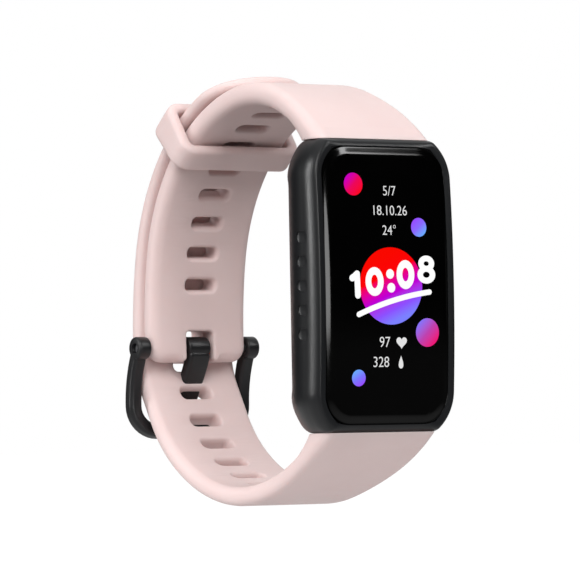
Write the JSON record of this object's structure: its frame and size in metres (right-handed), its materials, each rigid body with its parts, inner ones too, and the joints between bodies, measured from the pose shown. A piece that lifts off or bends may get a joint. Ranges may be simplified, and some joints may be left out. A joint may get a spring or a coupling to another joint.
{
  "type": "fitness tracker band",
  "caption": "Wrist-worn fitness tracker: a slim rectangular case with a curved glass front on a soft two-part strap, closed by a pin buckle and a keeper loop.",
  "frame": {"origin": "centre of the wrist opening, 30 mm behind the middle of the front glass", "axes": "+Z towards the 12 o'clock strap, the screen faces -Y, +X towards the side with the button; the wrist lies along X"},
  "size_m": [0.026, 0.0561, 0.065],
  "materials": {
    "case_plastic": "satin moulded polycarbonate",
    "cover_plastic": "fine matt back cover",
    "cover_glass": "polished cover glass",
    "display": "lit display panel under the glass",
    "silicone": "soft matt silicone",
    "buckle_plastic": "satin moulded buckle",
    "steel": "turned stainless steel",
    "nylon": "glass-filled nylon",
    "adhesive": "foam adhesive",
    "polyimide": "polyimide ribbon",
    "circuit_board": "solder mask",
    "tin_plate": "tin plated can",
    "chip_epoxy": "moulded epoxy",
    "pouch": "laminated pouch foil",
    "magnesium": "bead-blasted magnesium",
    "tungsten": "sintered tungsten weight",
    "gold": "gold plated pads",
    "led_lens": "clear green emitter",
    "silicon": "bare photodiode silicon"
  },
  "bodies": {
    "case_and_straps": {"case_shell": "case_plastic", "back_cover": "cover_plastic", "back_gasket": "adhesive", "front_glass": "cover_glass", "display_panel": "display", "display_gasket": "adhesive", "display_flex": "polyimide", "inner_bracket": "magnesium", "main_board": "circuit_board", "shield_can": "tin_plate", "board_chips": "chip_epoxy", "board_screws": "steel", "battery_pouch": "pouch", "battery_lead": "polyimide", "motor_case": "steel", "motor_shaft": "steel", "antenna_strip": "polyimide", "sensor_board": "circuit_board", "sensor_window": "cover_glass", "light_barrier": "nylon", "green_leds": "led_lens", "photodiodes": "silicon", "charge_contacts": "gold", "button_seal": "adhesive", "button_switch": "nylon", "button_flex": "polyimide", "upper_strap": "silicone", "lower_strap": "silicone", "upper_insert": "nylon", "lower_insert": "nylon", "upper_bar": "steel", "upper_bar_spring": "steel", "lower_bar": "steel", "lower_bar_spring": "steel"},
    "button": {"button_cap": "case_plastic", "button_clip": "steel"},
    "switch_plunger": {"switch_plunger": "nylon"},
    "upper_bar_tip": {"upper_bar_tip": "steel"},
    "lower_bar_tip": {"lower_bar_tip": "steel"},
    "motor_rotor": {"motor_rotor": "tungsten"},
    "keeper": {"keeper_loop": "silicone"},
    "buckle_frame": {"buckle_frame": "buckle_plastic", "buckle_pin": "steel"},
    "buckle_tongue": {"buckle_tongue": "buckle_plastic"}
  },
  "joints": [
    {"name": "button_press", "type": "slide", "parent": "case_and_straps", "child": "button", "axis": [-1, 0, 0], "range_m": [0, 0.00025], "stiffness_N_per_m": 4000},
    {"name": "switch_press", "type": "slide", "parent": "case_and_straps", "child": "switch_plunger", "axis": [-1, 0, 0], "range_m": [0, 0.00025]},
    {"name": "upper_tip_retract", "type": "slide", "parent": "case_and_straps", "child": "upper_bar_tip", "axis": [-1, 0, 0], "range_m": [0, 0.0016], "stiffness_N_per_m": 500, "deforming": ["upper_bar_spring"]},
    {"name": "lower_tip_retract", "type": "slide", "parent": "case_and_straps", "child": "lower_bar_tip", "axis": [-1, 0, 0], "range_m": [0, 0.0016], "stiffness_N_per_m": 500, "deforming": ["lower_bar_spring"]},
    {"name": "motor_spin", "type": "hinge", "parent": "case_and_straps", "child": "motor_rotor", "pos_m": [-0.0061, -0.0228, 0.012], "axis": [0, 1, 0], "continuous": true},
    {"name": "keeper_slide", "type": "hinge", "parent": "case_and_straps", "child": "keeper", "pos_m": [0, -0.00794, 0.00109], "axis": [1, 0, 0], "range_deg": [-8, 8]},
    {"name": "buckle_swing", "type": "hinge", "parent": "case_and_straps", "child": "buckle_frame", "pos_m": [0, 0.02106, -0.0078], "axis": [1, 0, 0], "range_deg": [0, 2]},
    {"name": "tongue_swing", "type": "hinge", "parent": "buckle_frame", "child": "buckle_tongue", "pos_m": [0, 0.02106, -0.0078], "axis": [1, 0, 0], "range_deg": [0, 1]}
  ],
  "couplings": [
    {"joint": "switch_press", "follows": "button_press", "ratio": 1}
  ]
}
